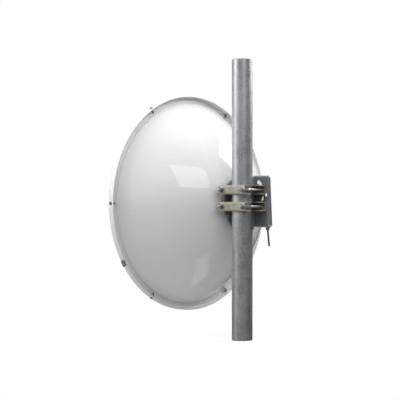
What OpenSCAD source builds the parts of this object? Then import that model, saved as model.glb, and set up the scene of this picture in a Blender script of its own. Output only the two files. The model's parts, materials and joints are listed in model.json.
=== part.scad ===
// Outdoor wireless bridge: a deep parabolic dish radio with a radome, held on a vertical
// mast section by two channel clamps and a tilting bracket with a screw jack.
// +Z is up, the beam leaves along -Y, and the origin is the centre of the mast's foot.

/* [Dish] */
// Outside diameter of the dish's rim
rim_d = 650; // [620:1:680]
// Depth from the rim's front plane to the vertex of the dish's back
dish_depth = 228; // [215:1:235]
// Thickness of the reflector's sheet
sheet = 2; // [1.5:0.1:2.5]
// Radius of the flat seat at the middle of the dish's back
seat_r = 78; // [74:1:82]
// Height of the dish's axis above the mast's foot
axis_h = 395; // [300:1:450]
// Sideways offset of the dish's axis from the mast's axis
axis_offset = 57; // [55:1:60]
// Distance from the mast's axis forward to the rim's front plane
rim_ahead = 280; // [280:1:286]

/* [Radome] */
// Depth of the radome's skirt around the rim
skirt_depth = 21; // [20:1:25]
// Wall thickness of the radome
radome_wall = 3; // [2.5:0.1:3.5]
// Height of the radome's dome in front of the rim
dome_h = 45; // [30:1:60]
// Number of screws around the rim
rim_screws = 6; // [4:1:8]

/* [Mast] */
// Outside diameter of the mast's tube
mast_d = 60.3; // [60.3:0.1:60.6]
// Wall thickness of the mast's tube
mast_wall = 2.9; // [2.5:0.1:3.6]
// Length of the mast section
mast_l = 810; // [700:1:1000]

/* [Clamps] */
// Length of a clamp channel
channel_l = 105; // [100:1:106]
// Height of a clamp channel across its flanges
channel_h = 27; // [25:1:28]
// Depth of a clamp channel from the web's outside to the flange tips
channel_depth = 27; // [24:1:28]
// Thickness of the clamp channel's sheet
channel_t = 3; // [2.5:0.5:3.5]
// Distance from the mast's axis to the outside of a saddle's web, against the mast plate
web_x = 46; // [45:0.5:47]
// Distance from the mast's axis to the outside of a clamp channel's web
channel_x = 42; // [41:0.5:46]
// How far the clamp channels reach past the mast's middle towards the front
channel_shift = 5; // [0:0.5:5]
// Distance from the mast's axis to each clamp stud
stud_y = 42; // [41:0.5:42.5]
// Height of the upper clamp above the dish's axis
upper_z = 38.5; // [38:0.5:40]
// Depth of the lower clamp below the dish's axis
lower_z = 9.5; // [9:0.5:11]

/* [Bracket] */
// Thickness of the bracket's plates
plate_t = 4; // [3.5:0.5:4]
// Gap between the mast plate and the tilting wing
wing_gap = 12; // [12:0.5:13]
// Height of the tilt pivot above the dish's axis
pivot_z = 14.5; // [14:0.5:15]
// Distance of the tilt pivot ahead of the mast's axis
pivot_ahead = 22; // [21:0.5:23]
// Distance from the pivot to each lock bolt
lock_r = 48; // [48:0.5:49]
// Largest tilt up or down, in degrees
tilt_max = 10; // [8:1:10]

/* [Jack] */
// Distance from the pivot back to the jack's trunnion
jack_arm = 56.5; // [56:0.5:57.5]
// Height of the jack's trunnion above the pivot
jack_rise = 20.5; // [20:0.5:21]
// Lean of the jack rod, its foot towards the rear, in degrees
jack_lean = 7; // [6:0.5:7.5]
// Depth of the jack rod's foot below the dish's axis
jack_foot = 124; // [115:1:135]

/* [Hidden] */

$fn = 64;
fit = 0.05;              // radial clearance of a shaft in its own hole
gap = 0.3;               // clearance between faces of different moving bodies

// dish: profile coordinates are radius and distance behind the rim's front plane
rim_r = rim_d / 2;
lip_r = rim_r - radome_wall;                 // outside of the reflector's turned-back lip
shoulder_r = rim_r - 25;
shoulder_y = 17;
curve = (dish_depth - shoulder_y) / (shoulder_r * shoulder_r);
seat_depth = dish_depth - curve * seat_r * seat_r;
gutter_r = 11;                               // concave radius from the shoulder to the gutter
gutter_y = 6;                                // floor of the rim's gutter
lip_back = skirt_depth - 4;                  // rear edge of the reflector's lip
gasket_t = 1.5;
screw_y = 11;                                // rim screws behind the front plane
clip_angle = -32;
clip_y = 12;
clip_rivet_y = clip_y - 2;
clip_rivet_z = 5;
clip_rivet_r = 1.5;
focus_depth = dish_depth - 1 / (4 * curve);

// places in the row frame
axis_x = -axis_offset;
rim_y = -rim_ahead;
seat_y = rim_y + seat_depth;
hub_y = seat_y + plate_t;                    // rear face of the hub plate
plate_x = -web_x;                            // mast-side face of the mast plate
plate_back = plate_x - plate_t;
wing_x = plate_back - wing_gap;              // mast-side face of the wing
pivot_y = -pivot_ahead;
pivot_h = axis_h + pivot_z;

// mast plate outline, relative to the dish's axis height
plate_top = 80;
plate_bottom = -70;
plate_front = -44;
plate_rear = 60;
top_lip = 9;
bottom_lip = 19;
bend_r = 5;
slot_w = 9;
// the hand slot's and the scale window's ends in Y and Z, and their radii
hand_slot = [[21, 62], [30, 55]];
hand_slot_r = 5.5;
window_slot = [[37, 13], [49.5, 24.5]];
window_slot_r = 5.2;
bead_y = 2;
bead_r = 3;
bead_spans = [[5.5, 23.5], [-64, -25]];

// hub plate outline, half widths and heights about the dish's axis
hub_half_w = 63;
hub_side_top = 45;
hub_side_low = -27;
hub_end_w = 37;
hub_half_h = 66;
hub_bolt_x = 48;
hub_bolt_z = 33;

// fasteners: nominal radii and heads
m10_r = 5;
m8_r = 4;
m6_r = 3;
m5_r = 2.5;
m10_hex = 8.5;
m8_hex = 6.5;
m6_hex = 5;
m5_hex = 4;
hex_corner = 1 / cos(30);

wing_bolt_z = [-40, 7, 52];
wing_bolt_x = wing_x - plate_t - 17;
jack_x = plate_back - wing_gap / 2 - 0.5;
trunnion_y = pivot_y + jack_arm;
trunnion_z = pivot_z + jack_rise;
trunnion_h = axis_h + trunnion_z;
jack_r = m6_r;
jack_hole_y = trunnion_y + (trunnion_z - plate_bottom) * tan(jack_lean);
earth_x = plate_back - 8;
earth_y = -15;
radio_r = 66;
radio_front = seat_depth - 62;

// points of an arc about [cx, cy], from angle a0 to a1
function arc(cx, cy, r, a0, a1, n) =
    [for (i = [0:n]) let (a = a0 + (a1 - a0) * i / n) [cx + r * cos(a), cy + r * sin(a)]];

// point on the dish's back at radius r, moved inwards by d along the surface's normal
function dish_point(r, d) =
    let (slope = 2 * curve * r, n = sqrt(1 + slope * slope))
    [r - d * slope / n, dish_depth - curve * r * r - d / n];

// 2D shape in Y and Z, extruded from x by t towards +X
module along_x(x, t) {
    translate([x, 0, 0]) rotate([90, 0, 90]) linear_extrude(t) children();
}

// 2D shape in X and Z, extruded from y by t towards -Y
module along_y(y, t) {
    translate([0, y, 0]) rotate([90, 0, 0]) linear_extrude(t) children();
}

// solid drawn about +Z, laid along X from x
module rod_x(x, y, z) {
    translate([x, y, z]) rotate([0, 90, 0]) children();
}

// solid drawn about +Z, laid along Y from y
module rod_y(x, y, z) {
    translate([x, y, z]) rotate([-90, 0, 0]) children();
}

// profile of radius and depth, spun about the dish's axis
module spun() {
    translate([axis_x, rim_y, axis_h]) rotate([-90, 0, 0]) rotate_extrude($fn = 128) children();
}

// local +X points outwards at this angle of the rim, and +Y backwards
module at_rim(angle) {
    translate([axis_x, rim_y, axis_h]) rotate([0, -angle, 0]) children();
}

// the jack rod's own axis: local +Z up along the rod from the trunnion
module on_jack() {
    translate([jack_x, trunnion_y, trunnion_h]) rotate([jack_lean, 0, 0]) children();
}

// hexagon prism of width w across its flats, with turned corners and a round hole
module nut(w, h, hole_r) {
    difference() {
        intersection() {
            cylinder(r = w * hex_corner, h = h, $fn = 6);
            union() {
                cylinder(r1 = w * 1.02, r2 = w * 1.17, h = h * 0.15);
                translate([0, 0, h * 0.15]) cylinder(r = w * 1.17, h = h * 0.7);
                translate([0, 0, h * 0.85]) cylinder(r1 = w * 1.17, r2 = w * 1.02, h = h * 0.15);
            }
        }
        translate([0, 0, -1]) cylinder(r = hole_r, h = h + 2);
    }
}

module washer(r, hole_r, h) {
    difference() {
        cylinder(r = r, h = h);
        translate([0, 0, -1]) cylinder(r = hole_r, h = h + 2);
    }
}

// shank with a chamfered tip, pointing up from z = 0
module shank(r, l) {
    tip = r * 0.25;
    cylinder(r = r, h = l - tip);
    translate([0, 0, l - tip]) cylinder(r1 = r, r2 = r - tip, h = tip);
}

// hexagon-headed bolt: head below z = 0, shank above
module hex_bolt(r, w, head_h, l) {
    translate([0, 0, -head_h]) intersection() {
        cylinder(r = w * hex_corner, h = head_h, $fn = 6);
        union() {
            cylinder(r1 = w * 1.0, r2 = w * 1.17, h = head_h * 0.2);
            translate([0, 0, head_h * 0.2]) cylinder(r = w * 1.17, h = head_h * 0.8);
        }
    }
    shank(r, l);
}

// bar with round ends of radius r, from p to q in 2D
module slot2d(p, q, r) {
    a = atan2(q[1] - p[1], q[0] - p[0]);
    polygon(concat(arc(q[0], q[1], r, a - 90, a + 90, 12), arc(p[0], p[1], r, a + 90, a + 270, 12)));
}

// curved slot of width w about the origin, at radius r from angle a0 to a1
module arc_slot2d(r, w, a0, a1) {
    polygon(concat(
        arc(0, 0, r + w / 2, a0, a1, 8),
        arc(r * cos(a1), r * sin(a1), w / 2, a1, a1 + 180, 12),
        arc(0, 0, r - w / 2, a1, a0, 8),
        arc(r * cos(a0), r * sin(a0), w / 2, a0 + 180, a0 + 360, 12)));
}

module pivot_frame() {
    translate([pivot_y, pivot_h]) children();
}

// ---- mast ----

module mast() {
    color("silver") difference() {
        cylinder(r = mast_d / 2, h = mast_l);
        translate([0, 0, -1]) cylinder(r = mast_d / 2 - mast_wall, h = mast_l + 2);
    }
}

// ---- clamps ----

// rounded rectangle of circles and squares, centred
module round_rect(w, h, r) {
    square([w - 2 * r, h], center = true);
    square([w, h - 2 * r], center = true);
    for (x = [-1, 1], y = [-1, 1]) translate([x * (w / 2 - r), y * (h / 2 - r)]) circle(r);
}

// channel section: open towards -X, web outside at x = 0
module channel_section() {
    outer_r = channel_t + 2;
    difference() {
        translate([-channel_depth, 0]) round_rect(2 * channel_depth, channel_h, outer_r);
        translate([-channel_depth, 0])
            round_rect(2 * (channel_depth - channel_t), channel_h - 2 * channel_t, 2);
        translate([-3 * channel_depth, -channel_h]) square([2 * channel_depth, 2 * channel_h]);
    }
}

mark_y = -7;
mark_r = 1.4;
mark_t = 1;

// clamp channel with its web's outside at x, its middle at y, centred on z, notched
// around the mast
module clamp_channel(x, y, z) {
    difference() {
        translate([x, y + channel_l / 2, z]) rotate([90, 0, 0]) linear_extrude(channel_l)
            channel_section();
        translate([0, 0, z - channel_h]) cylinder(r = mast_d / 2 + gap, h = 2 * channel_h);
        for (s = [-1, 1]) rod_x(0, s * stud_y, z) cylinder(r = m8_r + 0.5, h = 2 * x);
        // a shallow stamped dimple in the web
        along_x(x - mark_t, 2 * mark_t) translate([y + mark_y, z])
            slot2d([0, -3.5], [0, 3.5], mark_r);
    }
}

module channel_upper() {
    color("darkkhaki") clamp_channel(channel_x, -channel_shift, axis_h + upper_z);
}

module channel_lower() {
    color("darkkhaki") clamp_channel(channel_x, -channel_shift, axis_h - lower_z);
}

module saddle_upper() {
    color("tan") mirror([1, 0, 0]) clamp_channel(web_x, 0, axis_h + upper_z);
}

module saddle_lower() {
    color("tan") mirror([1, 0, 0]) clamp_channel(web_x, 0, axis_h - lower_z);
}

// the four clamp studs: Y, Z, and how far each stands out past the channel's web
clamp_points = [
    [-stud_y, axis_h + upper_z, 17], [stud_y, axis_h + upper_z, 26],
    [-stud_y, axis_h - lower_z, 17], [stud_y, axis_h - lower_z, 15]];
stud_head = 1.2;
stud_washer_t = 1.6;
stud_nut_h = 6.5;
nut_h = 8;

module each_stud() {
    for (p = clamp_points) translate([0, p[0], p[1]]) children();
}

module clamp_studs() {
    color("gainsboro") {
        for (p = clamp_points) rod_x(plate_back, p[0], p[1])
            shank(m8_r, channel_x + p[2] - plate_back);
        each_stud() rod_x(plate_back - stud_head, 0, 0) cylinder(r = m8_r * 1.8, h = stud_head);
    }
}

module clamp_washers() {
    color("silver") each_stud() rod_x(channel_x, 0, 0)
        washer(m8_r * 2, m8_r + 0.25, stud_washer_t);
}

module clamp_nuts() {
    color("silver") each_stud() rod_x(channel_x + stud_washer_t, 0, 0) rotate(15)
        nut(m8_hex, stud_nut_h, m8_r + fit);
}

// ---- mast plate ----

// strip folded back towards -X at the plate's edge: its bend and a flat of length l
// beyond it, w wide along +Y, with the plate's edge at z = 0
module fold(l, w) {
    translate([-bend_r, 0, -bend_r]) intersection() {
        rotate([-90, 0, 0]) difference() {
            cylinder(r = bend_r, h = w);
            translate([0, 0, -1]) cylinder(r = bend_r - plate_t, h = w + 2);
        }
        cube([bend_r, w, bend_r]);
    }
    translate([-bend_r - l, 0, -plate_t]) cube([l, w, plate_t]);
}

// half-round rib standing out of the plate, with tapered ends, of length l upwards
module bead(l) {
    end_r = 0.4;
    cylinder(r1 = end_r, r2 = bead_r, h = bead_r);
    translate([0, 0, bead_r]) cylinder(r = bead_r, h = l - 2 * bead_r);
    translate([0, 0, l - bead_r]) cylinder(r1 = bead_r, r2 = end_r, h = bead_r);
}

module mast_plate() {
    top = axis_h + plate_top;
    bottom = axis_h + plate_bottom;
    lip_w = plate_rear - bend_r - plate_front;
    flange_h = top - bottom - 2 * bend_r;
    color("dimgray") difference() {
        union() {
            translate([plate_back, plate_front, bottom + bend_r])
                cube([plate_t, lip_w, flange_h]);
            translate([plate_x, plate_front, top]) fold(top_lip - bend_r, lip_w);
            translate([plate_x, plate_front, bottom]) mirror([0, 0, 1])
                fold(bottom_lip - bend_r, lip_w);
            // rear flange, deeper at its foot
            intersection() {
                translate([plate_x, plate_rear, top - bend_r]) rotate([-90, 0, 0])
                    fold(bottom_lip - bend_r, flange_h);
                along_y(plate_rear + 1, 2 * bend_r + 1) polygon([
                    [plate_x + 1, bottom], [plate_x + 1, top],
                    [plate_x - top_lip, top], [plate_x - bottom_lip + 1, bottom]]);
            }
            for (s = bead_spans) translate([plate_x - 0.5, bead_y, axis_h + s[0]])
                bead(s[1] - s[0]);
        }
        // arc slots for the two lock bolts, hand slot and scale window
        along_x(plate_back - 1, plate_t + 2) {
            for (a = [90, 270]) pivot_frame()
                arc_slot2d(lock_r, slot_w, a - tilt_max - 1.5, a + tilt_max + 1.5);
            translate([0, axis_h]) slot2d(hand_slot[0], hand_slot[1], hand_slot_r);
            translate([0, axis_h]) slot2d(window_slot[0], window_slot[1], window_slot_r);
        }
        each_stud() rod_x(plate_back - 1, 0, 0) cylinder(r = m8_r + fit, h = plate_t + 2);
        rod_x(plate_back - 1, pivot_y, pivot_h) cylinder(r = m10_r + fit, h = plate_t + 2);
        // slot in the bottom lip for the jack rod, and the earth screw's hole
        translate([0, 0, bottom - 1]) linear_extrude(plate_t + 2)
            slot2d([jack_x, jack_hole_y - 2], [jack_x, jack_hole_y + 2], jack_r + 0.8);
        translate([earth_x, earth_y, bottom - 1]) cylinder(r = m6_r + fit, h = plate_t + 2);
    }
}

// ---- pivot, jack and earth hardware on the bracket ----

pivot_end = wing_x - plate_t - 1.5 - nut_h - 4;

module pivot_stud() {
    color("silver") {
        rod_x(plate_x, pivot_y, pivot_h) cylinder(r = 6, h = 3);
        rod_x(plate_x, pivot_y, pivot_h) rotate([180, 0, 0]) shank(m10_r, plate_x - pivot_end);
    }
}

module pivot_spacer() {
    color("gray") rod_x(wing_x + 0.1, pivot_y, pivot_h)
        washer(10, m10_r + 0.2, wing_gap - 0.1);
}

module pivot_washer() {
    color("silver") rod_x(wing_x - plate_t - 0.1 - 1.4, pivot_y, pivot_h)
        washer(11, m10_r + 0.25, 1.4);
}

module pivot_nut() {
    color("silver") rod_x(wing_x - plate_t - 1.5 - nut_h, pivot_y, pivot_h)
        nut(m10_hex, nut_h, m10_r + fit);
}

jack_nut_h = 5.5;
jack_washer_t = 1.4;
jack_washer_r = 6.5;
// distance down the rod from the trunnion to the bottom lip's inner and outer faces
lip_top_s = (trunnion_z - plate_bottom - plate_t) / cos(jack_lean);
lip_bottom_s = (trunnion_z - plate_bottom) / cos(jack_lean);
lean_rise = jack_washer_r * tan(jack_lean);

module jack_washers() {
    color("silver") on_jack() {
        translate([0, 0, -lip_top_s + lean_rise]) washer(jack_washer_r, jack_r + 0.3, jack_washer_t);
        translate([0, 0, -lip_bottom_s - lean_rise - jack_washer_t])
            washer(jack_washer_r, jack_r + 0.3, jack_washer_t);
    }
}

module jack_nuts() {
    color("silver") on_jack() {
        translate([0, 0, -lip_top_s + lean_rise + jack_washer_t])
            nut(m6_hex, jack_nut_h, jack_r + fit);
        translate([0, 0, -lip_bottom_s - lean_rise - jack_washer_t - jack_nut_h])
            nut(m6_hex, jack_nut_h, jack_r + fit);
    }
}

module earth_screw() {
    color("silver") translate([earth_x, earth_y, axis_h + plate_bottom]) {
        translate([0, 0, -10]) cylinder(r = m6_r, h = 10 + plate_t);
        translate([0, 0, plate_t]) cylinder(r = m6_hex * hex_corner, h = 4, $fn = 6);
        translate([0, 0, -1.5]) washer(7, m6_r, 1.5);
        translate([0, 0, -6.5]) nut(m6_hex, 5, m6_r);
    }
}

// ---- jack rod ----

eye_t = 7;
eye_r = 5.8;
eye_clear = 0.4;
pin_r = 3;
// how far the trunnion slides along the eye's slot over the whole tilt: it swings to both
// sides of the rod, and the arm's arc shifts it one way
eye_swing = (jack_rise * cos(jack_lean) - jack_arm * sin(jack_lean)) * sin(tilt_max);
eye_dip = (jack_arm * cos(jack_lean) + jack_rise * sin(jack_lean)) * (1 - cos(tilt_max));
eye_fore = eye_swing + eye_dip + eye_clear;
eye_aft = eye_swing - eye_dip + eye_clear;

module jack_screw() {
    rod_l = (jack_foot + trunnion_z) / cos(jack_lean);
    color("olive") on_jack() difference() {
        union() {
            along_x(-eye_t / 2, eye_t) slot2d([-eye_fore, 0], [eye_aft, 0], eye_r);
            translate([0, 0, -rod_l]) cylinder(r1 = jack_r - 0.8, r2 = jack_r, h = 0.8);
            translate([0, 0, -rod_l + 0.8]) cylinder(r = jack_r, h = rod_l - 0.8 - pin_r - 1.5);
        }
        along_x(-eye_t, 2 * eye_t) slot2d([-eye_fore, 0], [eye_aft, 0], pin_r + eye_clear);
    }
}

// ---- tilting wing and hub plate ----

wing_foot_w = 28;
wing_foot_low = -50;
wing_foot_high = 62;
boss_r = 6.5;

// wing seen along X: its body from the hub to the lock bolts, and an arm that reaches
// back to the trunnion above the scale window
module wing_outline() {
    polygon([
        [hub_y, wing_foot_low], [-27, -46], [-16, -44], [-10, -37], [-8, -28],
        [-6, -6], [-6, 14], [0, 25.5], [trunnion_y - 1, trunnion_z - 5.5],
        [trunnion_y - 1, trunnion_z + 5.5], [4, 46], [-6, 54],
        [-9, 64], [-15, 71], [-25, 73], [-36, 70], [hub_y, wing_foot_high]]);
    translate([trunnion_y, trunnion_z]) circle(boss_r);
}

module tilt_wing() {
    foot_x = wing_x - plate_t;
    color("gray") difference() {
        union() {
            along_x(foot_x, plate_t) translate([0, axis_h]) wing_outline();
            translate([foot_x - wing_foot_w, hub_y, axis_h + wing_foot_low])
                cube([wing_foot_w, plate_t, wing_foot_high - wing_foot_low]);
            // two gussets between the wing and its foot
            for (z = [-20, 28]) translate([0, 0, axis_h + z]) linear_extrude(plate_t)
                polygon([[foot_x, hub_y + plate_t], [foot_x - 24, hub_y + plate_t],
                    [foot_x, hub_y + plate_t + 20]]);
        }
        rod_x(foot_x - 1, pivot_y, pivot_h) cylinder(r = m10_r + fit, h = plate_t + 2);
        rod_x(foot_x - 1, trunnion_y, trunnion_h) cylinder(r = pin_r + fit, h = plate_t + 2);
        each_lock() rod_x(foot_x - 1, 0, 0) cylinder(r = m8_r + fit, h = plate_t + 2);
        each_wing_bolt() rod_y(0, hub_y - 1, 0) cylinder(r = m6_r + 0.2, h = plate_t + 2);
    }
}

// repeats at the three bolts through the wing's foot
module each_wing_bolt() {
    for (z = wing_bolt_z) translate([wing_bolt_x, 0, axis_h + z]) children();
}

trunnion_head = 2;

module trunnion() {
    back = wing_x - plate_t - trunnion_head;
    color("silver") rod_x(back, trunnion_y, trunnion_h) {
        cylinder(r = pin_r, h = trunnion_head + plate_t + wing_gap - 2.2);
        cylinder(r = 5, h = trunnion_head);
    }
}

module wing_bolts() {
    color("silver") each_wing_bolt() rod_y(0, hub_y - plate_t, 0) shank(m6_r, 2 * plate_t + 8);
}

module wing_nuts() {
    color("silver") each_wing_bolt() rod_y(0, hub_y + plate_t, 0) nut(m6_hex, 5, m6_r + fit);
}

lock_washer_t = 1.6;
lock_head = 5.3;

// repeats at the two lock bolts
module each_lock() {
    for (s = [-1, 1]) translate([0, pivot_y, pivot_h + s * lock_r]) children();
}

module lock_bolts() {
    grip = plate_x + 0.1 + lock_washer_t;
    color("silver") each_lock() rod_x(grip, 0, 0) rotate([180, 0, 0])
        hex_bolt(m8_r, m8_hex, lock_head, grip - wing_x + plate_t + 12);
}

module lock_washers() {
    color("silver") each_lock() {
        rod_x(plate_x + 0.1, 0, 0) washer(8, m8_r + 0.2, lock_washer_t);
        rod_x(wing_x - plate_t - lock_washer_t, 0, 0) washer(8, m8_r + 0.2, lock_washer_t);
    }
}

module lock_spacers() {
    color("gray") each_lock() rod_x(wing_x, 0, 0) washer(7, m8_r + 0.2, wing_gap - 0.1);
}

module lock_nuts() {
    color("silver") each_lock() rod_x(wing_x - plate_t - lock_washer_t - 6.5, 0, 0)
        nut(m8_hex, 6.5, m8_r + fit);
}

module hub_plate() {
    half = [[hub_end_w, -hub_half_h], [hub_half_w, hub_side_low], [hub_half_w, hub_side_top],
        [hub_end_w, hub_half_h]];
    other = [for (i = [3:-1:0]) [-half[i][0], half[i][1]]];
    color("slategray") difference() {
        along_y(hub_y, plate_t) translate([axis_x, axis_h]) difference() {
            polygon(concat(half, other));
            translate([-port_out, port_z]) circle(port_hole_r);
        }
        each_hub_bolt() rod_y(0, hub_y - plate_t - 1, 0) cylinder(r = m8_r + 0.3, h = plate_t + 2);
        each_wing_bolt() rod_y(0, hub_y - plate_t - 1, 0)
            cylinder(r = m6_r + 0.2, h = plate_t + 2);
    }
}

// repeats at the four bolts through the hub plate
module each_hub_bolt() {
    for (x = [-1, 1], z = [-1, 1])
        translate([axis_x + x * hub_bolt_x, 0, axis_h + z * hub_bolt_z]) children();
}

hub_washer_t = 1.4;

module hub_bolts() {
    color("silver") each_hub_bolt() rod_y(0, hub_y + hub_washer_t, 0) rotate([180, 0, 0])
        hex_bolt(m8_r, m8_hex, 5.3, hub_washer_t + plate_t + sheet + ring_t - 1);
}

module hub_washers() {
    color("silver") each_hub_bolt() rod_y(0, hub_y, 0) washer(8, m8_r + 0.2, hub_washer_t);
}

// ---- reflector, gasket and radome ----

module reflector() {
    steps = 20;
    fall = [for (i = [0:steps]) let (r = seat_r + (shoulder_r - seat_r) * i / steps) r];
    back = [for (r = fall) dish_point(r, 0)];
    front = [for (i = [steps:-1:0]) dish_point(fall[i], sheet)];
    corner = shoulder_r + 2 + gutter_r;
    color("white") difference() {
        spun() polygon(concat(
            [[0, seat_depth]],
            back,
            [[shoulder_r + 2, shoulder_y - 0.5]],
            arc(corner, shoulder_y, gutter_r, 185, 270, 6),
            [[lip_r - sheet, gutter_y], [lip_r - sheet, lip_back], [lip_r, lip_back],
                [lip_r, gutter_y - sheet]],
            arc(corner, shoulder_y, gutter_r + sheet, 270, 190, 6),
            front,
            [[0, seat_depth - sheet]]));
        for (i = [0:rim_screws - 1]) at_rim(i * 360 / rim_screws)
            rod_x(lip_r - 12, screw_y, 0) cylinder(r = m5_r + 0.2, h = 14);
        each_hub_bolt() rod_y(0, seat_y - 10, 0) cylinder(r = m8_r + 0.3, h = 12);
        rod_y(axis_x - port_out, seat_y - 10, axis_h + port_z) cylinder(r = port_hole_r, h = 12);
    }
}

module rim_gasket() {
    front_y = gutter_y - sheet;
    color("dimgray") spun() translate([lip_r - 7, front_y - gasket_t]) square([6.8, gasket_t]);
}

module radome() {
    seat = gutter_y - sheet - gasket_t;
    cap_r = (rim_r * rim_r + dome_h * dome_h) / (2 * dome_h);
    steps = 16;
    rs = [for (i = [0:steps]) (rim_r - 6) * i / steps];
    outside = [for (r = rs) [r, -dome_h + cap_r - sqrt(cap_r * cap_r - r * r)]];
    inside = [for (i = [steps:-1:0]) let (r = rs[i] * (lip_r - 9) / (rim_r - 6))
        [r, -dome_h + radome_wall + cap_r - sqrt(cap_r * cap_r - r * r)]];
    color("whitesmoke") difference() {
        spun() polygon(concat(
            outside,
            arc(rim_r - 5, 5, 5, -75, 0, 6),
            [[rim_r, skirt_depth - 1], [rim_r - 1, skirt_depth], [lip_r + fit, skirt_depth],
                [lip_r + fit, seat], [lip_r - 8, seat]],
            inside));
        for (i = [0:rim_screws - 1]) at_rim(i * 360 / rim_screws)
            rod_x(lip_r - 12, screw_y, 0) cylinder(r = m5_r + 0.2, h = 20);
        for (s = [-1, 1]) at_rim(clip_angle) rod_x(lip_r - 4, clip_rivet_y, s * clip_rivet_z)
            cylinder(r = clip_rivet_r, h = 10);
    }
}

module rim_screws() {
    color("silver") for (i = [0:rim_screws - 1]) at_rim(i * 360 / rim_screws) {
        rod_x(rim_r, screw_y, 0) {
            cylinder(r = 5, h = 1.6);
            translate([0, 0, 1.6]) cylinder(r1 = 5, r2 = 3.4, h = 1.6);
        }
        rod_x(rim_r, screw_y, 0) rotate([180, 0, 0]) shank(m5_r, 17);
    }
}

module rim_nuts() {
    color("silver") for (i = [0:rim_screws - 1]) at_rim(i * 360 / rim_screws)
        rod_x(lip_r - sheet - 5.5, screw_y, 0) nut(m5_hex, 4.5, m5_r + fit);
}

clip_w = 18;
clip_t = 2;

// tether lug: a bent tab on the rim with a slotted ear standing outwards
module rim_clip() {
    color("gainsboro") at_rim(clip_angle) difference() {
        union() {
            translate([rim_r, clip_y - 7, -clip_w / 2]) cube([clip_t, 14, clip_w]);
            translate([rim_r, clip_y + 7 - clip_t, -clip_w / 2]) cube([12, clip_t, clip_w]);
        }
        translate([rim_r + 6.5, clip_y, 0]) rotate([-90, 0, 0]) linear_extrude(10)
            slot2d([0, -4], [0, 4], 1.8);
        for (s = [-1, 1]) rod_x(rim_r - 1, clip_rivet_y, s * clip_rivet_z) cylinder(r = clip_rivet_r, h = 6);
    }
}

module rim_clip_rivets() {
    color("silver") at_rim(clip_angle) for (s = [-1, 1]) rod_x(rim_r, clip_rivet_y, s * clip_rivet_z) {
        translate([0, 0, -radome_wall]) cylinder(r = 1.45, h = radome_wall + clip_t + 0.2);
        translate([0, 0, clip_t + 0.2]) cylinder(r1 = 3, r2 = 1.6, h = 1.4);
    }
}

// ---- port and vent on the hub plate's far side ----

port_out = 51;
port_z = 6;
port_hole_r = 9;
port_r = 12;

module port_housing() {
    color("darkslategray") rod_y(axis_x - port_out, hub_y, axis_h + port_z) {
        difference() {
            union() {
                cylinder(r = port_r, h = 6);
                cylinder(r = port_r - 1.5, h = 20);
            }
            translate([0, 0, 4]) cylinder(r = port_r - 3.5, h = 20);
            translate([0, 0, -1]) cylinder(r = 6, h = 10);
        }
    }
}

module port_jack() {
    color("black") rod_y(axis_x - port_out, hub_y, axis_h + port_z) difference() {
        translate([-6, -5.5, 4]) cube([12, 11, 10]);
        translate([-4.8, -4.3, 6]) cube([9.6, 8.6, 20]);
    }
}

vent_x = 22;
vent_z = -54;

module vent_plug() {
    color("black") rod_y(axis_x + vent_x, hub_y, axis_h + vent_z) {
        cylinder(r = 7, h = 2.5);
        translate([0, 0, 2.5]) cylinder(r1 = 6, r2 = 4.5, h = 1.5);
    }
}

// ---- radio and feed inside the dish ----

radio_wall = 3;
ring_r = 50;                                 // inside of the housing's bolting ring
ring_t = 10;
ring_y = seat_depth - sheet - ring_t;        // front face of the bolting ring

module radio_housing() {
    color("lightgray") difference() {
        spun() polygon([
            [radio_r - radio_wall, radio_front + radio_wall], [radio_r - radio_wall, ring_y],
            [ring_r, ring_y], [ring_r, ring_y + ring_t], [radio_r + 10, ring_y + ring_t],
            [radio_r + 10, ring_y], [radio_r, ring_y - 5], [radio_r, radio_front],
            [16, radio_front], [16, radio_front + radio_wall]]);
        each_hub_bolt() rod_y(0, rim_y + ring_y - 1, 0) cylinder(r = m8_r + fit, h = ring_t + 2);
        rod_y(axis_x - port_out, rim_y + ring_y - 1, axis_h + port_z)
            cylinder(r = port_hole_r, h = ring_t + 2);
    }
}

module radio_lid() {
    t = 2.5;
    color("silver") rod_y(axis_x, rim_y + ring_y - t, axis_h) difference() {
        cylinder(r = radio_r - radio_wall - 0.1, h = t);
        translate([-port_out, -port_z, -1]) cylinder(r = port_hole_r, h = t + 2);
    }
}

module circuit_board() {
    color("darkgreen") rod_y(axis_x, seat_y - sheet - 26, axis_h) difference() {
        translate([-32, -38, 0]) cube([64, 76, 1.6]);
        translate([0, 0, -1]) cylinder(r = 4, h = 4);
    }
}

module shield_can() {
    color("silver") rod_y(axis_x, seat_y - sheet - 24.4, axis_h) difference() {
        translate([-22, -28, 0]) cube([44, 56, 8]);
        translate([-21, -27, -1]) cube([42, 54, 8]);
    }
}

tube_r = 14;
tube_bore = 11;
tube_front = focus_depth - 8;
cone_r = 28;
cone_l = 20;
cone_tip = 14;

module feed_tube() {
    color("gainsboro") spun() polygon([
        [tube_bore, tube_front], [tube_bore, radio_front + radio_wall + 2],
        [20, radio_front + radio_wall + 2], [20, radio_front + radio_wall],
        [16 - fit, radio_front + radio_wall], [16 - fit, radio_front], [tube_r, radio_front],
        [tube_r, tube_front]]);
}

module feed_cone() {
    color("ivory") spun() polygon([
        [0, tube_front + 16], [tube_bore - 4, tube_front + 6], [tube_bore - fit, tube_front],
        [tube_r, tube_front], [cone_r, tube_front - cone_l], [0, tube_front - cone_tip]]);
}

module subreflector() {
    color("silver") spun() polygon([
        [0, tube_front - cone_tip], [cone_r, tube_front - cone_l], [31, tube_front - cone_l - 0.5],
        [31, tube_front - cone_l - 2.5], [0, tube_front - cone_tip - 3]]);
}

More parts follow.
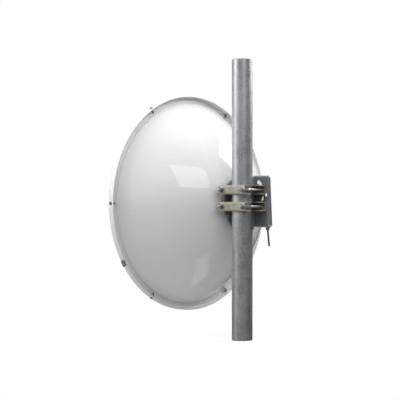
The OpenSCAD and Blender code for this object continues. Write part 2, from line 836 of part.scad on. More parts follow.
mast();
mast_plate();
saddle_upper();
saddle_lower();
channel_upper();
channel_lower();
clamp_studs();
clamp_washers();
clamp_nuts();
pivot_stud();
pivot_spacer();
pivot_washer();
pivot_nut();
jack_nuts();
jack_washers();
earth_screw();
jack_screw();
tilt_wing();
trunnion();
wing_bolts();
wing_nuts();
lock_bolts();
lock_washers();
lock_spacers();
lock_nuts();
hub_plate();
hub_bolts();
hub_washers();
reflector();
rim_gasket();
radome();
rim_screws();
rim_nuts();
rim_clip();
rim_clip_rivets();
port_housing();
port_jack();
vent_plug();
radio_housing();
radio_lid();
circuit_board();
shield_can();
feed_tube();
feed_cone();
subreflector();
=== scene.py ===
import json
import math

import bmesh
import bpy
from mathutils import Matrix, Vector, noise


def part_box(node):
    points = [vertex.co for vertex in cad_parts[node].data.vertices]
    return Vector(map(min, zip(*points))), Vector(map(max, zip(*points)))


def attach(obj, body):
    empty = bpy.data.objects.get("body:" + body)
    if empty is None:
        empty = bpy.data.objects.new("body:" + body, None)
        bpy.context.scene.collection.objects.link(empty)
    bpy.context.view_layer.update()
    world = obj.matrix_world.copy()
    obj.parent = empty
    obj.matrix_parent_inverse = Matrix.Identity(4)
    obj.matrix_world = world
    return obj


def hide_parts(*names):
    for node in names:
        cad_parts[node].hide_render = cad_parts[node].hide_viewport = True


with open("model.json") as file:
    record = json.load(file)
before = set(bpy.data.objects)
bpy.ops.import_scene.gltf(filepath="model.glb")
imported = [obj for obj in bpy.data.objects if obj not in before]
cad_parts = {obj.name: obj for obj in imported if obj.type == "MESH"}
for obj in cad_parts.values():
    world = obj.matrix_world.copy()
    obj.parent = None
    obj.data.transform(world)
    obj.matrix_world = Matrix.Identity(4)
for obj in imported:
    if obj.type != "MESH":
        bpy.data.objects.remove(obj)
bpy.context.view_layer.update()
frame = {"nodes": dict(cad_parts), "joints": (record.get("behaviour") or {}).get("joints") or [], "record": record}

# The looks of the outdoor wireless bridge: a painted dish with a radome on a galvanised mast.
# Local coordinates of spun and ringed shapes are about +Z; `place` puts them in the part's frame.
# Lengths are in metres; MM turns millimetres into them.

MM = 0.001
COLLECTION = bpy.context.scene.collection
NODES = frame["nodes"]
SLOT_OF = {row["node"]: row["material_slot"] for row in frame["record"]["subparts"]}
BODY_OF = {n: body for body, names in frame["record"]["behaviour"]["bodies"].items() for n in names}

# ---- places and sizes read from the frame ----

mast_low, mast_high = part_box("mast")
radome_low, radome_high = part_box("radome")
shell_low, shell_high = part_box("reflector")
DISH_X = (radome_low.x + radome_high.x) / 2
DISH_Z = (radome_low.z + radome_high.z) / 2
RIM_R = (radome_high.x - radome_low.x) / 2
LIP_R = (shell_high.x - shell_low.x) / 2

SHEET = 2 * MM
GUTTER_FLOOR = 6 * MM
RIM_Y = shell_low.y + SHEET - GUTTER_FLOOR          # the rim's front plane
DISH_CENTRE = Vector((DISH_X, RIM_Y, DISH_Z))
DISH_PLACE = Matrix.Translation(DISH_CENTRE) @ Matrix.Rotation(-math.pi / 2, 4, "X")


# ---- mesh helpers ----

AROUND = 36                     # points round a fastener, a multiple of its six sides
TIP_R = 0.3 * MM                # radius of the small face that closes a shape on its axis
CORNER_SLOPE = 0.55             # how steeply the corners of a hexagon are turned off
THREAD_STEPS = 6                # rings in one turn of a thread
THREAD_DEPTH = 0.6              # of its pitch
WELD = 1e-6                     # CAD vertices closer than this are one
FLAT_ANGLE = math.radians(0.5)  # faces that meet at less than this are one face
EDGE_ANGLE = math.radians(40)   # edges sharper than this are rounded


def arc(cx, cy, r, start, end, steps):
    """Points of an arc about (cx, cy), angles in degrees."""
    points = []
    for i in range(steps + 1):
        a = math.radians(start + (end - start) * i / steps)
        points.append((cx + r * math.cos(a), cy + r * math.sin(a)))
    return points


def circle(r, z, count=AROUND):
    """A ring of points about +Z."""
    return [(r * math.cos(math.tau * i / count), r * math.sin(math.tau * i / count), z)
            for i in range(count)]


def hexagon(half_width, z, chamfer_from=None, chamfer_slope=0.0):
    """A hexagonal ring; with a chamfer its height follows the cone that turns the corners off."""
    ring = []
    for i in range(AROUND):
        a = math.tau * i / AROUND
        r = half_width / math.cos(a % (math.pi / 3) - math.pi / 6)
        drop = 0.0 if chamfer_from is None else (r - chamfer_from) * chamfer_slope
        ring.append((r * math.cos(a), r * math.sin(a), z + drop))
    return ring


def notched(r, z, depth, every, count):
    """A ring with two points in every few set back by a depth, for ribs and grips."""
    ring = []
    for i in range(count):
        a = math.tau * i / count
        radius = r - (depth if i % every in (0, 1) else 0.0)
        ring.append((radius * math.cos(a), radius * math.sin(a), z))
    return ring


def add_rings(bm, rings, place=Matrix.Identity(4), looped=False):
    """Joins rings of equal length with quads, and caps the ends unless the rings form a loop."""
    made = []
    for ring in rings:
        made.append([bm.verts.new(place @ Vector(p)) for p in ring])
    pairs = list(zip(made, made[1:] + made[:1])) if looped else list(zip(made, made[1:]))
    for low, high in pairs:
        count = len(low)
        for i in range(count):
            bm.faces.new((low[i], low[(i + 1) % count], high[(i + 1) % count], high[i]))
    if not looped:
        bm.faces.new(list(reversed(made[0])))
        bm.faces.new(made[-1])


def add_spin(bm, profile, place, count=AROUND):
    """A closed profile of (radius, height) points turned about +Z."""
    add_rings(bm, [circle(r, z, count) for r, z in profile], place, looped=True)


def thread_rings(r, pitch, z0, z1, count=AROUND):
    """Rings of a screw thread from z0 to z1, faded out at both ends."""
    rings = []
    total = max(2, round((z1 - z0) / pitch * THREAD_STEPS))
    depth = THREAD_DEPTH * pitch
    root, flank, tip_fade = 0.1, 0.75, 0.35
    for k in range(total + 1):
        z = z0 + (z1 - z0) * k / total
        fade = min(1.0, (z - z0) / pitch, (z1 - z) / pitch + tip_fade)
        ring = []
        for i in range(count):
            a = math.tau * i / count
            phase = (z / pitch - i / count) % 1.0
            ridge = min(1.0, max(0.0, (1 - abs(2 * phase - 1) - root) / flank))
            radius = r - depth * (1 - ridge) * max(0.0, fade)
            ring.append((radius * math.cos(a), radius * math.sin(a), z))
        rings.append(ring)
    return rings


def piece(name, bm, slot, body, stands_for=(), sharp=38, material=None):
    """Turns a bmesh into a shaded piece that rides on a body; edges over `sharp` degrees stay sharp."""
    bmesh.ops.recalc_face_normals(bm, faces=bm.faces)
    mesh = bpy.data.meshes.new(name)
    bm.to_mesh(mesh)
    bm.free()
    mesh.polygons.foreach_set("use_smooth", [True] * len(mesh.polygons))
    mesh.set_sharp_from_angle(angle=math.radians(sharp))
    obj = bpy.data.objects.new(name, mesh)
    COLLECTION.objects.link(obj)
    mesh.materials.append(material or MATERIALS[slot])
    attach(obj, body)
    if stands_for:
        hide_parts(*stands_for)
    return obj


def stand_in(name, bm, node, sharp, material=None):
    """A piece that takes a CAD node's slot, body and place."""
    return piece(name, bm, SLOT_OF[node], BODY_OF[node], (node,), sharp, material)


def welded_bmesh(node):
    """The CAD node's mesh with its faces joined along their edges."""
    bm = bmesh.new()
    bm.from_mesh(NODES[node].data)
    bmesh.ops.remove_doubles(bm, verts=bm.verts, dist=WELD)
    return bm


def solids(node):
    """The separate solids of a CAD node, each as its lowest and highest corner."""
    bm = welded_bmesh(node)
    boxes = []
    left = set(bm.verts)
    while left:
        todo = [left.pop()]
        corners = []
        while todo:
            v = todo.pop()
            corners.append(v.co.copy())
            for e in v.link_edges:
                other = e.other_vert(v)
                if other in left:
                    left.remove(other)
                    todo.append(other)
        low = Vector([min(c[k] for c in corners) for k in range(3)])
        high = Vector([max(c[k] for c in corners) for k in range(3)])
        boxes.append((low, high))
    bm.free()
    return sorted(boxes, key=lambda b: tuple(round(x, 5) for x in b[0] + b[1]))


def rounded_copy(name, node, width, cut=None):
    """A copy of a CAD node with its sharp edges rounded, as real sheet and castings have.

    A cut is a (point, normal) plane; what lies on the normal's side of it is left out."""
    bm = welded_bmesh(node)
    if cut:
        point, normal = cut
        geometry = bm.verts[:] + bm.edges[:] + bm.faces[:]
        cut_made = bmesh.ops.bisect_plane(bm, geom=geometry, plane_co=point, plane_no=normal,
                                          clear_outer=True)
        rim = [e for e in cut_made["geom_cut"] if isinstance(e, bmesh.types.BMEdge)]
        bmesh.ops.edgeloop_fill(bm, edges=rim)
    bmesh.ops.dissolve_limit(bm, angle_limit=FLAT_ANGLE, verts=bm.verts, edges=bm.edges)
    sharp = [e for e in bm.edges if len(e.link_faces) == 2 and e.calc_face_angle() > EDGE_ANGLE]
    bmesh.ops.bevel(bm, geom=sharp, offset=width, offset_type="OFFSET", segments=2,
                    profile=0.5, affect="EDGES", clamp_overlap=False)
    obj = stand_in(name, bm, node, sharp=45)
    weighted = obj.modifiers.new("flat faces stay flat", "WEIGHTED_NORMAL")
    weighted.keep_sharp = True


# ---- material helpers ----

class Shader:
    """A material with a Principled surface, and short calls for its nodes."""

    def __init__(self, name, color, metallic=0.0, roughness=0.5, specular=0.5, coat=0.0,
                 coat_roughness=0.05):
        self.material = bpy.data.materials.new(name)
        self.material.use_nodes = True
        self.tree = self.material.node_tree
        self.tree.nodes.clear()
        out = self.tree.nodes.new("ShaderNodeOutputMaterial")
        self.surface = self.tree.nodes.new("ShaderNodeBsdfPrincipled")
        self.link(self.surface.outputs["BSDF"], out.inputs["Surface"])
        self.surface.inputs["Base Color"].default_value = (*color, 1)
        self.surface.inputs["Metallic"].default_value = metallic
        self.surface.inputs["Roughness"].default_value = roughness
        self.surface.inputs["Specular IOR Level"].default_value = specular
        self.surface.inputs["Coat Weight"].default_value = coat
        self.surface.inputs["Coat Roughness"].default_value = coat_roughness
        self.position = self.tree.nodes.new("ShaderNodeTexCoord").outputs["Object"]

    def link(self, output, target):
        self.tree.links.new(output, target)

    def stretched(self, scale):
        """The position with each axis scaled."""
        mapping = self.tree.nodes.new("ShaderNodeMapping")
        mapping.inputs["Scale"].default_value = scale
        self.link(self.position, mapping.inputs["Vector"])
        return mapping.outputs["Vector"]

    def noise(self, scale, detail=3.0, roughness=0.5, distortion=0.0, vector=None):
        node = self.tree.nodes.new("ShaderNodeTexNoise")
        node.inputs["Scale"].default_value = scale
        node.inputs["Detail"].default_value = detail
        node.inputs["Roughness"].default_value = roughness
        node.inputs["Distortion"].default_value = distortion
        self.link(vector or self.position, node.inputs["Vector"])
        return node.outputs["Fac"]

    def cells(self, scale, vector=None, feature="F1", output="Distance"):
        node = self.tree.nodes.new("ShaderNodeTexVoronoi")
        node.feature = feature
        node.inputs["Scale"].default_value = scale
        self.link(vector or self.position, node.inputs["Vector"])
        return node.outputs[output]

    def value(self, socket, low, high, out_low, out_high):
        """Maps a value from one range to another."""
        node = self.tree.nodes.new("ShaderNodeMapRange")
        for key, number in (("From Min", low), ("From Max", high),
                            ("To Min", out_low), ("To Max", out_high)):
            node.inputs[key].default_value = number
        self.link(socket, node.inputs["Value"])
        return node.outputs["Result"]

    def math(self, operation, a, b):
        node = self.tree.nodes.new("ShaderNodeMath")
        node.operation = operation
        for item, target in ((a, node.inputs[0]), (b, node.inputs[1])):
            if isinstance(item, (int, float)):
                target.default_value = item
            else:
                self.link(item, target)
        return node.outputs["Value"]

    def weighted(self, *parts):
        """The sum of (value, weight) pairs."""
        terms = [self.math("MULTIPLY", value, weight) for value, weight in parts]
        total = terms.pop()
        while terms:
            total = self.math("ADD", terms.pop(), total)
        return total

    def ramp(self, socket, stops):
        """Colours along a value, as (position, colour) stops."""
        node = self.tree.nodes.new("ShaderNodeValToRGB")
        ramp = node.color_ramp
        ramp.elements[0].position, ramp.elements[0].color = stops[0][0], (*stops[0][1], 1)
        ramp.elements[1].position, ramp.elements[1].color = stops[-1][0], (*stops[-1][1], 1)
        for position, color in stops[1:-1]:
            ramp.elements.new(position).color = (*color, 1)
        self.link(socket, node.inputs["Fac"])
        return node.outputs["Color"]

    def color(self, socket):
        self.link(socket, self.surface.inputs["Base Color"])

    def roughness(self, socket):
        self.link(socket, self.surface.inputs["Roughness"])

    def bumps(self, *layers):
        """Bump layers as (height, strength, distance in metres), the broadest first."""
        normal = None
        for height, strength, distance in layers:
            node = self.tree.nodes.new("ShaderNodeBump")
            node.inputs["Strength"].default_value = strength
            node.inputs["Distance"].default_value = distance
            self.link(height, node.inputs["Height"])
            if normal:
                self.link(normal, node.inputs["Normal"])
            normal = node.outputs["Normal"]
        self.link(normal, self.surface.inputs["Normal"])


def tint(color, factor):
    return tuple(c * factor for c in color)


# ---- materials ----

def white_paint():
    """Gloss enamel on a spun bowl: long waves, orange peel and faint handling marks."""
    base = (0.82, 0.82, 0.825)
    s = Shader("gloss_white_enamel", base, roughness=0.5, specular=0.3, coat=1.0,
               coat_roughness=0.02)
    blotch = s.noise(7, detail=2)
    s.color(s.ramp(blotch, [(0.35, tint(base, 0.975)), (0.65, base)]))
    s.roughness(s.value(s.noise(18, detail=4), 0.3, 0.7, 0.42, 0.55))
    s.bumps((s.noise(7, detail=0, distortion=0.5), 0.2, 0.004),
            (s.noise(260, detail=0), 0.015, 0.0004))
    return s.material


def radome_plastic():
    """Satin moulded plastic with a very fine grain."""
    base = (0.80, 0.80, 0.80)
    s = Shader("satin_radome_plastic", base, roughness=0.38, coat=0.12, coat_roughness=0.2)
    s.color(s.ramp(s.noise(5, detail=3), [(0.3, tint(base, 0.97)), (0.7, base)]))
    s.roughness(s.value(s.noise(30, detail=4), 0.3, 0.7, 0.33, 0.45))
    s.bumps((s.noise(12, detail=1), 0.05, 0.002), (s.noise(1500, detail=2), 0.03, 0.0002))
    return s.material


def galvanised(name, dark, light, spangle, rough, metallic):
    """Hot-dip zinc: faint crystal spangle, cloudy mottling, runs along the part and dark pits."""
    s = Shader(name, light, metallic=metallic, roughness=rough)
    bent = s.tree.nodes.new("ShaderNodeVectorMath")         # bends the crystals' straight edges
    bent.operation = "MULTIPLY_ADD"
    warp = s.tree.nodes.new("ShaderNodeTexNoise")
    warp.inputs["Scale"].default_value = spangle
    s.link(s.position, warp.inputs["Vector"])
    s.link(warp.outputs["Color"], bent.inputs[0])
    bent.inputs[1].default_value = (0.5 / spangle,) * 3
    s.link(s.position, bent.inputs[2])
    separate = s.tree.nodes.new("ShaderNodeSeparateColor")
    s.link(s.cells(spangle, vector=bent.outputs["Vector"], output="Color"),
           separate.inputs["Color"])
    grain = separate.outputs["Red"]
    clouds = s.noise(30, detail=6, roughness=0.65)
    mottle = s.noise(170, detail=5, roughness=0.7)
    runs = s.noise(70, detail=4, vector=s.stretched((1, 1, 0.08)))
    mixed = s.weighted((grain, 0.09), (clouds, 0.3), (runs, 0.25), (mottle, 0.36))
    pits = s.value(s.cells(70), 0.0, 0.08, 0.6, 1.0)
    s.color(s.ramp(s.math("MULTIPLY", mixed, pits),
                   [(0.33, dark), (0.48, tint(light, 0.85)), (0.62, light)]))
    s.roughness(s.value(mixed, 0.35, 0.65, rough - 0.06, rough + 0.08))
    s.bumps((clouds, 0.25, 0.0007), (mottle, 0.35, 0.0005), (s.noise(900, detail=3), 0.15, 0.0001))
    return s.material


def yellow_zinc():
    """Pale olive-gold passivated zinc with darker stains and fine brushing."""
    base = (0.36, 0.338, 0.268)
    s = Shader("yellow_passivated_zinc", base, metallic=0.5, roughness=0.5)
    stains = s.noise(70, detail=5, roughness=0.65)
    brushing = s.noise(900, detail=2, vector=s.stretched((1, 0.04, 1)))
    mixed = s.weighted((stains, 0.75), (brushing, 0.25))
    s.color(s.ramp(mixed, [(0.3, (0.24, 0.215, 0.15)), (0.5, base), (0.72, (0.46, 0.44, 0.37))]))
    s.roughness(s.value(stains, 0.3, 0.7, 0.44, 0.6))
    s.bumps((stains, 0.12, 0.0003), (brushing, 0.1, 0.0001))
    return s.material


def bright_steel(name="bright_zinc_steel", base=(0.44, 0.435, 0.425), rough=0.33):
    """Turned fastener steel with fine tool marks and dull patches."""
    s = Shader(name, base, metallic=1.0, roughness=rough)
    patches = s.noise(160, detail=4, roughness=0.6)
    marks = s.noise(2600, detail=1)
    s.color(s.ramp(patches, [(0.32, tint(base, 0.72)), (0.6, base)]))
    s.roughness(s.value(patches, 0.3, 0.7, rough + 0.14, rough - 0.04))
    s.bumps((patches, 0.08, 0.0002), (marks, 0.06, 0.00005))
    return s.material


def dark_thread():
    """Oiled olive-grey thread with grime in its roots."""
    base = (0.20, 0.185, 0.135)
    s = Shader("oiled_olive_steel", base, metallic=0.85, roughness=0.45)
    grime = s.noise(240, detail=5)
    s.color(s.ramp(grime, [(0.3, tint(base, 0.45)), (0.65, tint(base, 1.25))]))
    s.roughness(s.value(grime, 0.3, 0.7, 0.55, 0.35))
    s.bumps((grime, 0.1, 0.0001))
    return s.material


def rubber():
    """Matt black rubber with a pale bloom."""
    base = (0.022, 0.022, 0.023)
    s = Shader("matt_rubber", base, roughness=0.75, specular=0.3)
    bloom = s.noise(90, detail=5)
    s.color(s.ramp(bloom, [(0.35, base), (0.75, (0.045, 0.045, 0.045))]))
    s.roughness(s.value(bloom, 0.3, 0.7, 0.65, 0.85))
    s.bumps((s.noise(1800, detail=2), 0.15, 0.0001))
    return s.material


def port_plastic():
    """Black moulded plastic with a fine grain and a little dust."""
    base = (0.035, 0.036, 0.04)
    s = Shader("grained_black_plastic", base, roughness=0.5)
    grain = s.cells(1600)
    dust = s.noise(60, detail=5)
    s.color(s.ramp(dust, [(0.4, base), (0.75, (0.06, 0.06, 0.062))]))
    s.roughness(s.value(dust, 0.3, 0.7, 0.42, 0.6))
    s.bumps((grain, 0.2, 0.0001))
    return s.material


def cast_aluminium():
    """Cast metal with a grainy skin."""
    base = (0.56, 0.57, 0.58)
    s = Shader("cast_aluminium", base, metallic=0.9, roughness=0.45)
    skin = s.noise(420, detail=4)
    s.color(s.ramp(s.noise(40, detail=4), [(0.3, tint(base, 0.85)), (0.7, base)]))
    s.roughness(s.value(skin, 0.3, 0.7, 0.4, 0.55))
    s.bumps((skin, 0.2, 0.0002))
    return s.material


def board_laminate():
    """Green circuit board with paler tracks."""
    base = (0.02, 0.11, 0.045)
    s = Shader("green_solder_mask", base, roughness=0.3, coat=0.3, coat_roughness=0.1)
    tracks = s.cells(260, feature="DISTANCE_TO_EDGE")
    s.color(s.ramp(tracks, [(0.02, (0.05, 0.2, 0.09)), (0.06, base)]))
    s.roughness(s.value(s.noise(300), 0.3, 0.7, 0.25, 0.4))
    s.bumps((tracks, 0.2, 0.00005))
    return s.material


def cone_plastic():
    """Undyed moulded plastic."""
    base = (0.72, 0.69, 0.60)
    s = Shader("natural_cone_plastic", base, roughness=0.4)
    s.color(s.ramp(s.noise(60, detail=3), [(0.3, tint(base, 0.93)), (0.7, base)]))
    s.roughness(s.value(s.noise(140), 0.3, 0.7, 0.35, 0.48))
    s.bumps((s.noise(500), 0.05, 0.0001))
    return s.material


# galvanised takes a name, the dark and light colours, crystals per metre, roughness and metallic
MATERIALS = {
    "white_paint": white_paint(),
    "radome_plastic": radome_plastic(),
    "galvanised_tube": galvanised("galvanised_tube", (0.22, 0.225, 0.235), (0.52, 0.53, 0.545),
                                  420, 0.42, 0.95),
    # the sheet's colours are its duller zinc tone, partly darkened as painted shade for the shadow between the
    # clamp channels and the plate
    "galvanised_sheet": galvanised("galvanised_sheet", (0.17, 0.175, 0.19),
                                   (0.33, 0.34, 0.36), 300, 0.38, 0.65),
    "yellow_zinc": yellow_zinc(),
    "stainless": bright_steel(),
    "blackened_steel": dark_thread(),
    "seal_rubber": rubber(),
    "port_plastic": port_plastic(),
    "cast_aluminium": cast_aluminium(),
    "board_laminate": board_laminate(),
    "cone_plastic": cone_plastic(),
}
CONTACT_GOLD = bright_steel("contact_gold", (0.75, 0.52, 0.18), 0.22)
# a darker copy of the fastener steel: its dark colour is painted reflection of dark surroundings, for the rim
# screws and the clamp nuts
DARK_REFLECTION_STEEL = bright_steel("stainless_painted_dark_reflection", (0.24, 0.235, 0.23), 0.24)
# dark steel for the pipe's sawn ends: partly the bare steel of the cut, partly painted shade along the pipe's top
# edge
SAWN_EDGE_SHADE_STEEL = bright_steel("sawn_pipe_edge_and_painted_shade", (0.20, 0.205, 0.215), 0.5)


# ---- dish ----

SHOULDER_R = RIM_R - 25 * MM
SHOULDER_Y = 17 * MM
SEAT_R = 78 * MM
SEAT_DEPTH = shell_high.y - RIM_Y
seat_share = (SEAT_R / SHOULDER_R) ** 2
DISH_DEPTH = (SEAT_DEPTH - SHOULDER_Y * seat_share) / (1 - seat_share)
CURVE = (DISH_DEPTH - SHOULDER_Y) / SHOULDER_R ** 2
LIP_BACK = 17 * MM
GUTTER_R = 11 * MM
DISH_AROUND = 256                                   # points round the dish and its cover
SKIRT_BACK = radome_high.y - RIM_Y
DOME_H = RIM_Y - radome_low.y


def bowl(r):
    """Depth of the bowl's back at radius r: the paraboloid, eased into the flat seat."""
    ease = 1.2 * MM
    parabola = DISH_DEPTH - CURVE * r * r
    return -ease * math.log(math.exp(-parabola / ease) + math.exp(-SEAT_DEPTH / ease))


def offset_outline(points, d):
    """The outline moved sideways by d, to the left of its direction of travel."""
    moved = []
    for i, (x, y) in enumerate(points):
        ax, ay = points[max(i - 1, 0)]
        bx, by = points[min(i + 1, len(points) - 1)]
        length = math.hypot(bx - ax, by - ay)
        moved.append((x - (by - ay) / length * d, y + (bx - ax) / length * d))
    return moved


def dish_outline():
    """The bowl's back from its centre out to the lip's rear edge."""
    steps = 110
    centre_r = 0.4 * MM
    fillet_r = 2.5 * MM
    radii = [centre_r + (SHOULDER_R - 2 * MM) * i / steps for i in range(steps + 1)]
    back = [(r, bowl(r)) for r in radii]
    shoulder = [(SHOULDER_R + 0.2 * MM, SHOULDER_Y - 0.4 * MM), (SHOULDER_R + 1.4 * MM, 15.6 * MM)]
    corner = SHOULDER_R + 2 * MM + GUTTER_R
    gutter = arc(corner, SHOULDER_Y, GUTTER_R, 190, 270, 12)
    inner = LIP_R - SHEET
    fillet = arc(inner - fillet_r, GUTTER_FLOOR + fillet_r, fillet_r, -80, 0, 6)
    lip = [(inner, 12 * MM), (inner, LIP_BACK - 0.8 * MM)]
    return back + shoulder + gutter + fillet + lip


def wave(p, size, amount, seed):
    """Smooth noise at a point: waves per metre, height, and a number that picks the pattern."""
    return amount * noise.noise(Vector(p) * size + Vector((seed, seed * 2.0, seed * 3.0)))


def make_dish_shell():
    """Spun bowl with a gutter and a hemmed lip, and the slight waves that spinning leaves."""
    bm = bmesh.new()
    back = dish_outline()
    front = list(reversed(offset_outline(back, -SHEET)))
    hem = arc(LIP_R - SHEET / 2, LIP_BACK - 0.9 * MM, SHEET / 2, 150, 30, 5)
    profile = back + hem + [p for p in front if p[0] > 0]
    add_spin(bm, [(max(r, TIP_R), z) for r, z in profile], DISH_PLACE, DISH_AROUND)
    seat_margin, shoulder_margin = 12 * MM, 8 * MM      # left smooth
    seat_fade, shoulder_fade = 40 * MM, 30 * MM         # where the waves grow to their full height
    for v in bm.verts:
        out = v.co - DISH_CENTRE
        radius = math.hypot(out.x, out.z)
        if SEAT_R + seat_margin < radius < SHOULDER_R - shoulder_margin:
            ease = min(1.0, (radius - SEAT_R - seat_margin) / seat_fade,
                       (SHOULDER_R - shoulder_margin - radius) / shoulder_fade)
            v.co.y += ease * (wave(out, 11, 0.25 * MM, 1) + wave(out, 26, 0.08 * MM, 2))
    piece("dish_shell", bm, "white_paint", "head", ("reflector",), sharp=50)


def make_radome():
    """Shallow moulded dome with a rounded corner, and a skirt that slips over the dish's lip."""
    bm = bmesh.new()
    wall = 3 * MM
    steps = 70
    cap_r = (RIM_R ** 2 + DOME_H ** 2) / (2 * DOME_H)
    edge = RIM_R - 6 * MM
    inner_edge = LIP_R - 9 * MM
    corner_r = 5 * MM
    hem_r = 1.1 * MM
    skirt_bore = LIP_R + 0.05 * MM

    def dome(r, lift):
        return -DOME_H + lift + cap_r - math.sqrt(cap_r ** 2 - r * r)

    radii = [TIP_R + (edge - TIP_R) * i / steps for i in range(steps + 1)]
    inner_radii = [r * inner_edge / edge for r in reversed(radii)]
    outside = [(r, dome(r, 0)) for r in radii]
    corner = arc(RIM_R - corner_r, corner_r, corner_r, -70, 0, 12)
    skirt = [(RIM_R, 9 * MM), (RIM_R, 14 * MM)]
    hem = arc(RIM_R - hem_r, SKIRT_BACK - hem_r, hem_r, 0, 90, 6)
    inside_skirt = [(skirt_bore + 0.4 * MM, SKIRT_BACK), (skirt_bore, SKIRT_BACK - 0.5 * MM),
                    (skirt_bore, 10 * MM), (skirt_bore, 2.5 * MM), (LIP_R - 8 * MM, 2.5 * MM)]
    inside = [(r, dome(r, wall)) for r in inner_radii]
    profile = outside + corner + skirt + hem + inside_skirt + inside
    add_spin(bm, profile, DISH_PLACE, DISH_AROUND)
    piece("radome_cover", bm, "radome_plastic", "head", ("radome",), sharp=50)


# ---- rim screws ----

# ISO threads: pitches, half widths across a nut's flats, and a bolt head's height
PITCH_M5, PITCH_M6, PITCH_M8, PITCH_M10 = 0.8 * MM, 1.0 * MM, 1.25 * MM, 1.5 * MM
HEX_M5, HEX_M6, HEX_M8, HEX_M10 = 4 * MM, 5 * MM, 6.5 * MM, 8.5 * MM
HEAD_M8 = 5.3 * MM


def rim_place(low, high, radius):
    """Local +Z outwards along the rim's radius through a solid's centre, at a radius."""
    centre = (low + high) / 2
    out = Vector((centre.x - DISH_X, 0, centre.z - DISH_Z)).normalized()
    origin = Vector((DISH_X, centre.y, DISH_Z)) + out * radius
    side = Vector((0, 1, 0))
    basis = Matrix((side.cross(out), side, out)).transposed()
    return Matrix.Translation(origin) @ basis.to_4x4()


def make_rim_screws():
    """Button-headed screws with a hexagon socket on a flat washer."""
    bm = bmesh.new()
    socket = 1.5 * MM
    # outlines as (radius, height) in millimetres, the height outwards from the cover's skirt
    washer = [(2.6, 0.0), (4.8, 0.0), (5.0, 0.2), (5.0, 0.8), (4.8, 1.0), (2.6, 1.0)]
    shank = [(0.4, -16.6), (1.6, -16.6), (2.1, -16.0)]
    head = [(2.5, -3.0), (2.5, 1.0), (4.3, 1.0), (4.45, 1.3), (4.2, 2.1), (3.4, 2.8), (2.4, 3.15)]
    for low, high in solids("rim_screws"):
        place = rim_place(low, high, RIM_R)
        add_spin(bm, [(r * MM, z * MM) for r, z in washer], place)
        rings = [circle(r * MM, z * MM) for r, z in shank]
        rings += thread_rings(2.5 * MM, PITCH_M5, -15.8 * MM, -3.2 * MM)
        rings += [circle(r * MM, z * MM) for r, z in head]
        rings += [hexagon(socket + 0.1 * MM, 3.15 * MM), hexagon(socket, 3.0 * MM),
                  hexagon(socket, 1.5 * MM), hexagon(TIP_R, 1.2 * MM)]
        add_rings(bm, rings, place)
    # the rim screws take the darker steel, whose colour is painted reflection of the dark surroundings
    stand_in("rim_screw_set", bm, "rim_screws", 32, DARK_REFLECTION_STEEL)


# ---- nuts, washers and bolts ----

AXIS_TURN = {
    "x": Matrix.Rotation(math.pi / 2, 4, "Y"),
    "-x": Matrix.Rotation(-math.pi / 2, 4, "Y"),
    "y": Matrix.Rotation(-math.pi / 2, 4, "X"),
    "-y": Matrix.Rotation(math.pi / 2, 4, "X"),
    "-z": Matrix.Rotation(math.pi, 4, "X"),
}


def nut_rings(half_width, height, bore):
    """A chamfered hexagon nut with countersunk bore, from its inside round to its inside."""
    flat = half_width * 0.96
    sink = bore * 1.14
    step = bore * 0.14
    return [circle(bore, step), circle(sink, 0), circle(flat, 0),
            hexagon(half_width, 0, flat, CORNER_SLOPE),
            hexagon(half_width, height, flat, -CORNER_SLOPE),
            circle(flat, height), circle(sink, height), circle(bore, height - step)]


def axis_place(low, high, axis, turn=0.0):
    """Local +Z along an axis of the part's frame, from the face of a solid's box it points away from."""
    k = "xyz".index(axis[-1])
    origin = (low + high) / 2
    origin[k] = high[k] if axis.startswith("-") else low[k]
    return Matrix.Translation(origin) @ AXIS_TURN[axis] @ Matrix.Rotation(math.radians(turn), 4, "Z")


def make_nuts(name, node, axis, half_width, bore, turn=0.0, material=None):
    """A hexagon nut in place of each solid of a node, turned about its axis."""
    bm = bmesh.new()
    k = "xyz".index(axis[-1])
    for low, high in solids(node):
        place = axis_place(low, high, axis, turn)
        add_rings(bm, nut_rings(half_width, high[k] - low[k], bore), place, looped=True)
    stand_in(name, bm, node, 28, material)


def washer_profile(outer, bore, height):
    """A pressed washer's section: one face with rounded edges."""
    edge = min(0.35 * MM, height * 0.3)
    return ([(bore, 0), (outer - edge / 2, 0)] + arc(outer - edge, edge, edge, -60, 0, 2)
            + arc(outer - edge, height - edge, edge, 0, 90, 4) + [(bore, height)])


def make_washers(name, node, axis, bore):
    """A round washer or bush in place of each solid of a node."""
    bm = bmesh.new()
    k = "xyz".index(axis[-1])
    for low, high in solids(node):
        size = high - low
        outer = max(size) / 2
        add_spin(bm, washer_profile(outer, bore, size[k]), axis_place(low, high, axis), 48)
    stand_in(name, bm, node, 30)


def bolt_rings(r, half_width, head_h, length, thread_l, pitch):
    """A hexagon-headed bolt: its head below z = 0, its threaded tip at z = length."""
    flat = half_width * 0.95
    rings = [circle(TIP_R, -head_h + 0.25 * MM),
             circle(flat * 0.7, -head_h + 0.2 * MM), circle(flat * 0.78, -head_h),
             circle(flat, -head_h), hexagon(half_width, -head_h, flat, CORNER_SLOPE),
             hexagon(half_width, -0.35 * MM), circle(flat, -0.3 * MM),
             circle(flat, 0), circle(r * 1.12, 0), circle(r, 0.4 * MM),
             circle(r, length - thread_l)]
    rings += thread_rings(r, pitch, length - thread_l + 0.1 * MM, length - 0.6 * MM)
    rings += [circle(r * 0.78, length), circle(TIP_R, length)]
    return rings


def make_bolts(name, node, axis, r, half_width, head_h, thread_l, pitch):
    """A hexagon bolt in place of each solid of a node; the axis points from the head to the tip."""
    bm = bmesh.new()
    k = "xyz".index(axis[-1])
    for low, high in solids(node):
        length = high[k] - low[k] - head_h
        place = axis_place(low, high, axis) @ Matrix.Translation((0, 0, head_h))
        add_rings(bm, bolt_rings(r, half_width, head_h, length, thread_l, pitch), place)
    stand_in(name, bm, node, 30)


